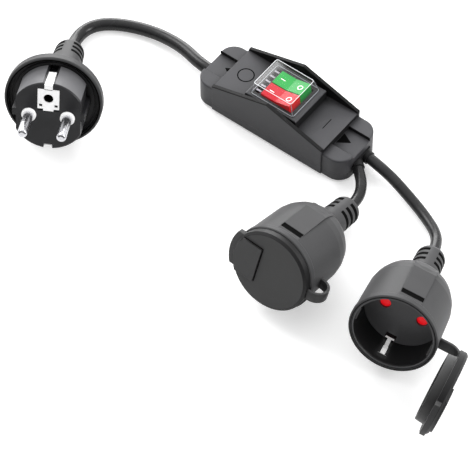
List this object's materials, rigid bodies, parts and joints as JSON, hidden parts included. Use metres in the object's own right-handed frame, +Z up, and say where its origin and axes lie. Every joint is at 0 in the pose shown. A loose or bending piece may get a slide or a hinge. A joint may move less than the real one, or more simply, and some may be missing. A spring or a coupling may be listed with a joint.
{
  "type": "splitter extension lead",
  "caption": "Short extension lead: earthed plug, in-line box with green and red rocker switches under a clear cap, and two in-line sockets with hinged lids.",
  "frame": {"origin": "under the middle of the switch box, at its resting face", "axes": "+X along the box towards its two outlet cords, +Y towards the far long side, +Z up"},
  "size_m": [0.2911, 0.1376, 0.0483],
  "materials": {
    "abs_black": "fine matt spark texture",
    "switch_black": "smooth matt",
    "screw_steel": "zinc plated",
    "rubber_black": "matt moulded rubber",
    "insert_black": "satin",
    "cord_black": "smooth satin jacket",
    "green_clear": "translucent gloss",
    "red_clear": "translucent gloss",
    "cap_clear": "clear soft plastic",
    "shutter_red": "satin",
    "collar_white": "smooth",
    "pin_nickel": "bright nickel plate",
    "earth_steel": "bright plated sheet",
    "contact_brass": "plain",
    "wire_brown": "insulation",
    "wire_blue": "insulation",
    "wire_green": "insulation"
  },
  "bodies": {
    "lead": {"base_shell": "abs_black", "top_shell": "abs_black", "housing_screws": "screw_steel", "clamp_inlet": "abs_black", "clamp_outlet": "abs_black", "clamp_screws": "screw_steel", "inlet_grommet": "rubber_black", "outlet_block": "rubber_black", "switch_body": "switch_black", "switch_frame": "abs_black", "rocker_axle": "screw_steel", "switch_terminals": "contact_brass", "weather_cap": "cap_clear", "wire_live": "wire_brown", "wire_neutral": "wire_blue", "wire_earth": "wire_green", "earth_splice": "collar_white", "plug_core": "insert_black", "plug_body": "rubber_black", "plug_relief": "rubber_black", "plug_pin_left": "pin_nickel", "plug_pin_right": "pin_nickel", "pin_collar_left": "collar_white", "pin_collar_right": "collar_white", "plug_earth_contact": "earth_steel", "plug_earth_clip": "earth_steel", "plug_earth_sleeve": "earth_steel", "supply_cord": "cord_black", "cord_a": "cord_black", "cord_b": "cord_black", "socket_a_body": "rubber_black", "socket_a_insert": "insert_black", "socket_a_plate": "insert_black", "socket_a_base": "insert_black", "socket_a_contacts": "contact_brass", "socket_a_earth_clip": "earth_steel", "socket_a_relief": "rubber_black", "socket_a_strap": "rubber_black", "socket_b_body": "rubber_black", "socket_b_insert": "insert_black", "socket_b_plate": "insert_black", "socket_b_base": "insert_black", "socket_b_contacts": "contact_brass", "socket_b_earth_clip": "earth_steel", "socket_b_relief": "rubber_black", "socket_b_strap": "rubber_black"},
    "green_rocker": {"rocker_green": "green_clear"},
    "red_rocker": {"rocker_red": "red_clear"},
    "lid_a": {"socket_a_lid": "rubber_black"},
    "lid_b": {"socket_b_lid": "rubber_black"},
    "shutter_a": {"socket_a_shutter": "shutter_red"},
    "shutter_b": {"socket_b_shutter": "shutter_red"}
  },
  "joints": [
    {"name": "rocker_green_tilt", "type": "hinge", "parent": "lead", "child": "green_rocker", "pos_m": [0.0003, 0, 0.021], "axis": [0, 1, 0], "range_deg": [0, 16]},
    {"name": "rocker_red_tilt", "type": "hinge", "parent": "lead", "child": "red_rocker", "pos_m": [0.0003, 0, 0.021], "axis": [0, 1, 0], "range_deg": [0, 16]},
    {"name": "lid_a_swing", "type": "hinge", "parent": "lead", "child": "lid_a", "pos_m": [0.0855, -0.08591, 0.02422], "axis": [0.0673, 0.2839, 0.9565], "range_deg": [0, 120], "deforming": ["socket_a_strap"]},
    {"name": "lid_b_swing", "type": "hinge", "parent": "lead", "child": "lid_b", "pos_m": [0.14873, -0.07666, 0.02004], "axis": [0.1483, 0.3291, 0.9326], "range_deg": [-90, 4], "deforming": ["socket_b_strap"]},
    {"name": "shutter_a_turn", "type": "hinge", "parent": "lead", "child": "shutter_a", "pos_m": [0.06024, -0.07206, 0.02189], "axis": [0.0084, -0.9588, 0.284], "range_deg": [0, 36], "stiffness_Nm_per_rad": 0.001, "springref_deg": -11.46},
    {"name": "shutter_b_turn", "type": "hinge", "parent": "lead", "child": "shutter_b", "pos_m": [0.12085, -0.06926, 0.02186], "axis": [0.2824, -0.9178, 0.279], "range_deg": [0, 36], "stiffness_Nm_per_rad": 0.001, "springref_deg": -11.46}
  ]
}
